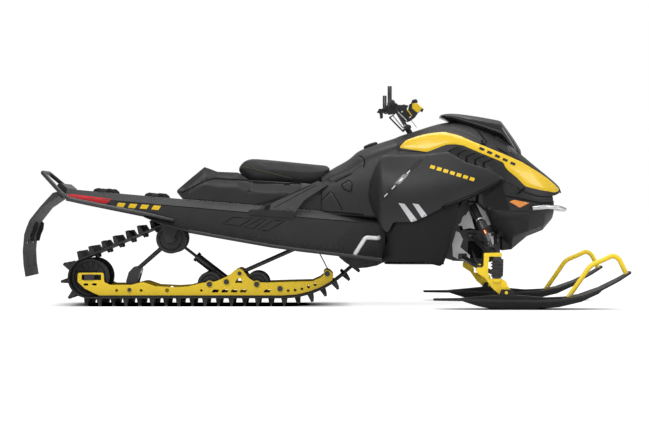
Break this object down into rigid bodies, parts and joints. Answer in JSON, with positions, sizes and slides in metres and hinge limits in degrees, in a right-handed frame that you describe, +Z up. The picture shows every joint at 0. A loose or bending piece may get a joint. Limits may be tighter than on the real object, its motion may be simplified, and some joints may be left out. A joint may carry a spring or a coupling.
{
  "type": "snowmobile",
  "caption": "Mountain snowmobile on one wide lugged track and two steered skis, with a slim seat, a tall handlebar and a low visor; bars, skis and tie rods turn together.",
  "frame": {"origin": "on the floor under the middle of the machine's bounding box", "axes": "+X forward, +Y to the rider's left, +Z up"},
  "size_m": [3.166, 1.094, 1.152],
  "materials": {
    "track_rubber": "moulded, matt",
    "wheel_plastic": "moulded, with rubber rim",
    "rail_paint": "semi-gloss paint on pressed aluminium",
    "shoe_plastic": "moulded",
    "bare_steel": "turned",
    "dark_metal": "fine texture paint",
    "tunnel_paint": "fine texture paint on folded sheet",
    "bare_aluminium": "polished",
    "cast_aluminium": "as cast",
    "webbing": "woven",
    "seat_fabric": "grained cover",
    "body_plastic": "grained moulding",
    "trim_yellow": "gloss",
    "visor_black": "gloss",
    "lamp_lens": "clear",
    "marker_amber": "gloss",
    "engine_metal": "rough",
    "grip_rubber": "ribbed",
    "yellow_paint": "gloss powder coat",
    "ski_plastic": "moulded",
    "flap_rubber": "moulded, matt",
    "light_red": "gloss"
  },
  "bodies": {
    "chassis": {"track": "track_rubber", "rear_wheels": "wheel_plastic", "bogie_wheels": "wheel_plastic", "skid_rails": "rail_paint", "slide_shoes": "shoe_plastic", "skid_shafts": "bare_steel", "rear_axle": "bare_steel", "front_skid_arm": "dark_metal", "rear_skid_arm": "dark_metal", "skid_shocks": "dark_metal", "limiter_straps": "webbing", "drive_axle": "dark_metal", "tunnel": "tunnel_paint", "running_boards": "tunnel_paint", "toe_holds": "cast_aluminium", "rear_bumper": "dark_metal", "snow_flap": "flap_rubber", "tail_light": "light_red", "cargo_anchors": "body_plastic", "seat_base": "body_plastic", "seat_cushion": "seat_fabric", "seat_struts": "dark_metal", "console": "body_plastic", "hood": "body_plastic", "hood_trims": "trim_yellow", "hood_louvres": "body_plastic", "windshield": "visor_black", "side_panels": "body_plastic", "lower_panels": "body_plastic", "foot_wells": "body_plastic", "belly_pan": "body_plastic", "nose": "body_plastic", "headlights": "lamp_lens", "side_markers": "marker_amber", "front_bumper": "bare_aluminium", "front_frame": "cast_aluminium", "engine_block": "engine_metal", "upper_arms": "dark_metal", "lower_arms": "dark_metal", "knuckles": "cast_aluminium", "front_shocks": "dark_metal"},
    "steering": {"steering_post": "dark_metal", "handlebar": "dark_metal", "grips": "grip_rubber", "hand_controls": "body_plastic"},
    "crank": {"steering_crank": "bare_steel"},
    "ski_left_unit": {"spindle_left": "yellow_paint", "ski_left": "ski_plastic", "ski_loop_left": "yellow_paint"},
    "ski_right_unit": {"spindle_right": "yellow_paint", "ski_right": "ski_plastic", "ski_loop_right": "yellow_paint"},
    "tie_rod_left_unit": {"tie_rod_left": "dark_metal"},
    "tie_rod_right_unit": {"tie_rod_right": "dark_metal"}
  },
  "joints": [
    {"name": "handlebar_turn", "type": "hinge", "parent": "chassis", "child": "steering", "pos_m": [0.5, 0, 0.884], "axis": [-0.515, 0, 0.8572], "range_deg": [-35, 35]},
    {"name": "crank_turn", "type": "hinge", "parent": "chassis", "child": "crank", "pos_m": [0.882, 0, 0.336], "axis": [0, 0, 1], "range_deg": [-24.5, 24.5]},
    {"name": "ski_left_turn", "type": "hinge", "parent": "chassis", "child": "ski_left_unit", "pos_m": [0.9, 0.445, 0.2], "axis": [0, 0, 1], "range_deg": [-24.5, 24.5]},
    {"name": "ski_right_turn", "type": "hinge", "parent": "chassis", "child": "ski_right_unit", "pos_m": [0.9, -0.445, 0.2], "axis": [0, 0, 1], "range_deg": [-24.5, 24.5]},
    {"name": "tie_rod_left_turn", "type": "hinge", "parent": "ski_left_unit", "child": "tie_rod_left_unit", "pos_m": [0.812, 0.445, 0.22], "axis": [0, 0, 1], "range_deg": [-24.5, 24.5]},
    {"name": "tie_rod_right_turn", "type": "hinge", "parent": "ski_right_unit", "child": "tie_rod_right_unit", "pos_m": [0.812, -0.445, 0.22], "axis": [0, 0, 1], "range_deg": [-24.5, 24.5]}
  ],
  "couplings": [
    {"joint": "crank_turn", "follows": "handlebar_turn", "ratio": 0.7},
    {"joint": "ski_left_turn", "follows": "handlebar_turn", "ratio": 0.7},
    {"joint": "ski_right_turn", "follows": "handlebar_turn", "ratio": 0.7},
    {"joint": "tie_rod_left_turn", "follows": "handlebar_turn", "ratio": -0.7},
    {"joint": "tie_rod_right_turn", "follows": "handlebar_turn", "ratio": -0.7}
  ]
}
